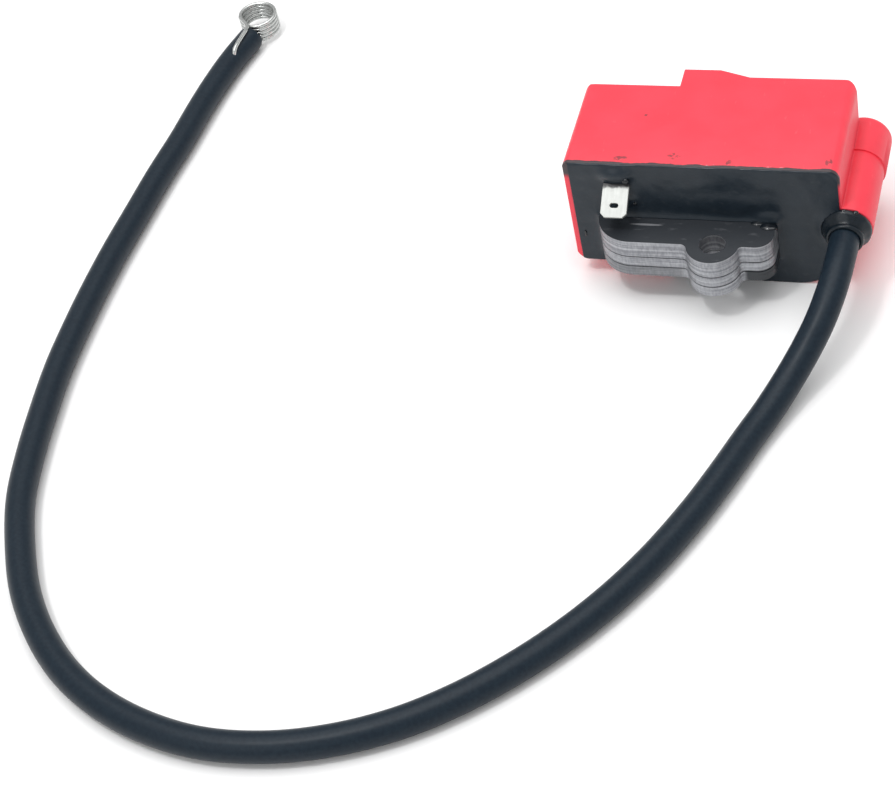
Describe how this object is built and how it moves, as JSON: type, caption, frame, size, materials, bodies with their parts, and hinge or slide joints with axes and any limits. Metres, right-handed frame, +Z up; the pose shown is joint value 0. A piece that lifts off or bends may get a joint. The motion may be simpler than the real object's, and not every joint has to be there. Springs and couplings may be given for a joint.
{
  "type": "ignition coil",
  "caption": "Potted ignition coil for a small engine: red case, laminated core with a bolt lug, spade terminal, and a high-tension lead ending in a contact spring.",
  "frame": {"origin": "middle of the bottom of the module's box, measured without the free lead and what is on it; the case stands on Z = 0", "axes": "+X along the case's width to the tower side, +Y from the open face to the back of the case, +Z up"},
  "size_m": [0.1973, 0.2453, 0.0354],
  "materials": {
    "red_plastic": "satin moulded",
    "black_epoxy": "poured, semi-gloss",
    "core_steel": "sheared edges",
    "rivet_steel": "plain",
    "tinned_brass": "tinned",
    "black_rubber": "satin",
    "bobbin_plastic": "moulded",
    "copper_winding": "enamelled copper wire",
    "board_laminate": "lacquered",
    "device_plastic": "moulded",
    "capacitor_plastic": "dipped",
    "resistor_coating": "lacquered",
    "lead_rubber": "satin",
    "copper_conductor": "stranded copper",
    "spring_steel": "bright wire"
  },
  "bodies": {
    "root": {"case": "red_plastic", "potting": "black_epoxy", "core_upper_pack": "core_steel", "core_middle_pack": "core_steel", "core_lower_pack": "core_steel", "core_rivets": "rivet_steel", "spade_terminal": "tinned_brass", "tower_seal": "black_rubber", "primary_bobbin": "bobbin_plastic", "primary_winding": "copper_winding", "secondary_bobbin": "bobbin_plastic", "secondary_winding_1": "copper_winding", "secondary_winding_2": "copper_winding", "secondary_winding_3": "copper_winding", "secondary_winding_4": "copper_winding", "secondary_winding_5": "copper_winding", "secondary_winding_6": "copper_winding", "circuit_board": "board_laminate", "power_transistor": "device_plastic", "control_transistor": "device_plastic", "capacitor": "capacitor_plastic", "diode": "device_plastic", "resistors": "resistor_coating", "ground_strap": "tinned_brass", "primary_leadouts": "copper_winding", "ht_leadout": "tinned_brass", "ht_contact_spike": "tinned_brass", "ignition_lead": "lead_rubber", "lead_conductor": "copper_conductor", "contact_spring": "spring_steel"}
  },
  "joints": []
}
